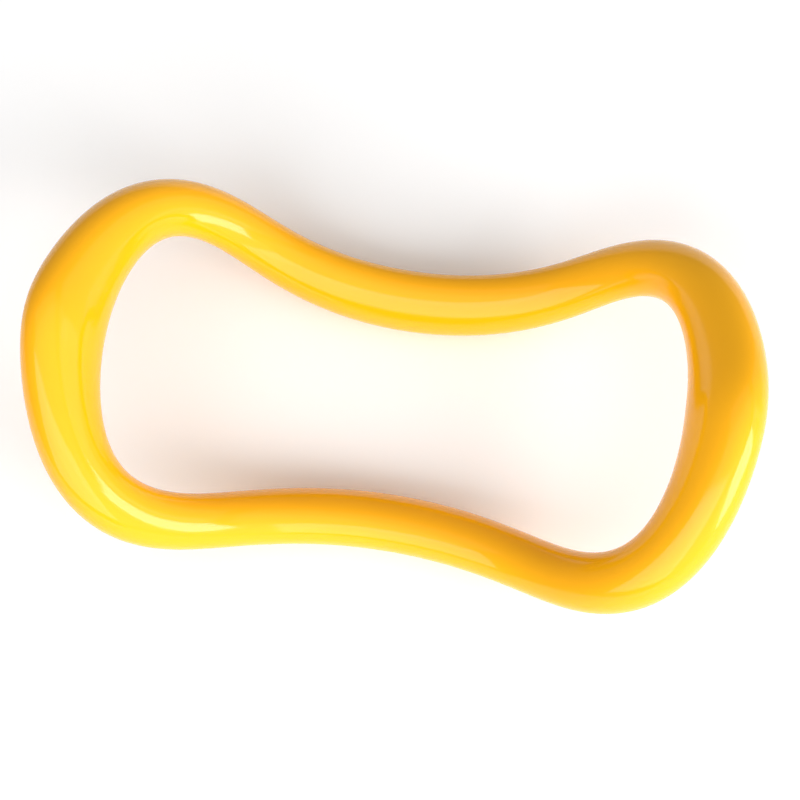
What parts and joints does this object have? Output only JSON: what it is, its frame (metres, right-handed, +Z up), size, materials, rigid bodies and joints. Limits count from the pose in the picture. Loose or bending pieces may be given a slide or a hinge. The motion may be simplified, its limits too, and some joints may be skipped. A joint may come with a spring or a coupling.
{
  "type": "exercise ring",
  "caption": "Closed hourglass hand ring of hollow glossy plastic tube, its rounded ends curved upward, for stretching, massage and balance play.",
  "frame": {"origin": "middle of the ring in plan, on the level of the two flats under the waist that it rests on", "axes": "+X along the ring towards one raised end, +Y across it, +Z up out of the saddle"},
  "size_m": [0.235, 0.1274, 0.0802],
  "materials": {
    "upper_shell": "glossy moulded ABS, warm yellow",
    "lower_shell": "glossy moulded ABS, warm yellow",
    "outer_weld_bead": "fused plastic seam, polished flush",
    "inner_weld_bead": "fused plastic seam, polished flush"
  },
  "bodies": {
    "root": {"upper_shell": "upper_shell", "lower_shell": "lower_shell", "outer_weld_bead": "outer_weld_bead", "inner_weld_bead": "inner_weld_bead"}
  },
  "joints": []
}
